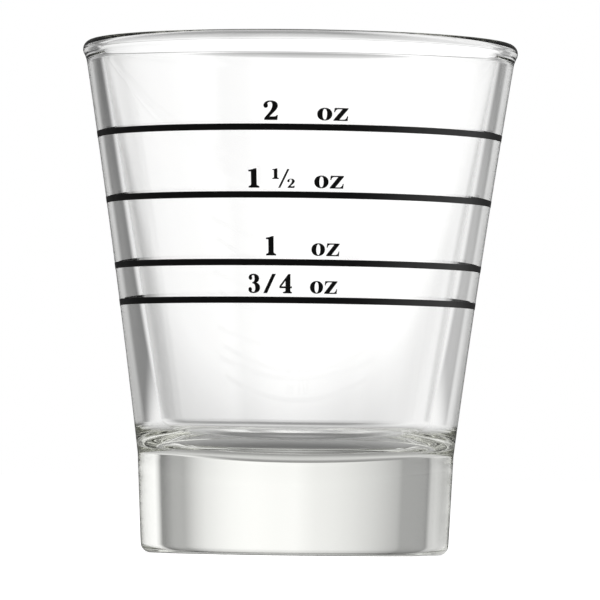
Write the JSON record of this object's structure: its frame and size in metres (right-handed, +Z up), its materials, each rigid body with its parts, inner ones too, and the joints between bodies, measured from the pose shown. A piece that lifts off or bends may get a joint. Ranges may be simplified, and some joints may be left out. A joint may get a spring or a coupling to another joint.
{
  "type": "measuring glass",
  "caption": "Clear tapered measuring glass on a thick solid foot, with black printed lines and fluid ounce figures for pouring out small measures of coffee.",
  "frame": {"origin": "on the axis of the glass, at the level of the ring that it stands on", "axes": "+Z up along the axis, -Y towards the printed front, +X to the right as the figures are read"},
  "size_m": [0.0588, 0.0588, 0.069],
  "materials": {
    "clear_glass": "fire-polished, clear with a faint grey-green tint in the thick foot",
    "black_enamel": "screen-printed ceramic enamel, fired, smooth and slightly glossy"
  },
  "bodies": {
    "root": {"glass_body": "clear_glass", "three_quarter_ounce_line": "black_enamel", "three_quarter_ounce_letter_z": "black_enamel", "three_quarter_ounce_letter_o": "black_enamel", "three_quarter_ounce_figure_4": "black_enamel", "three_quarter_ounce_slash": "black_enamel", "three_quarter_ounce_figure_3": "black_enamel", "one_ounce_line": "black_enamel", "one_ounce_letter_z": "black_enamel", "one_ounce_letter_o": "black_enamel", "one_ounce_figure_1": "black_enamel", "one_and_half_ounce_line": "black_enamel", "one_and_half_ounce_letter_z": "black_enamel", "one_and_half_ounce_letter_o": "black_enamel", "one_and_half_ounce_lower_2": "black_enamel", "one_and_half_ounce_slash": "black_enamel", "one_and_half_ounce_upper_1": "black_enamel", "one_and_half_ounce_figure_1": "black_enamel", "two_ounce_line": "black_enamel", "two_ounce_letter_z": "black_enamel", "two_ounce_letter_o": "black_enamel", "two_ounce_figure_2": "black_enamel"}
  },
  "joints": []
}
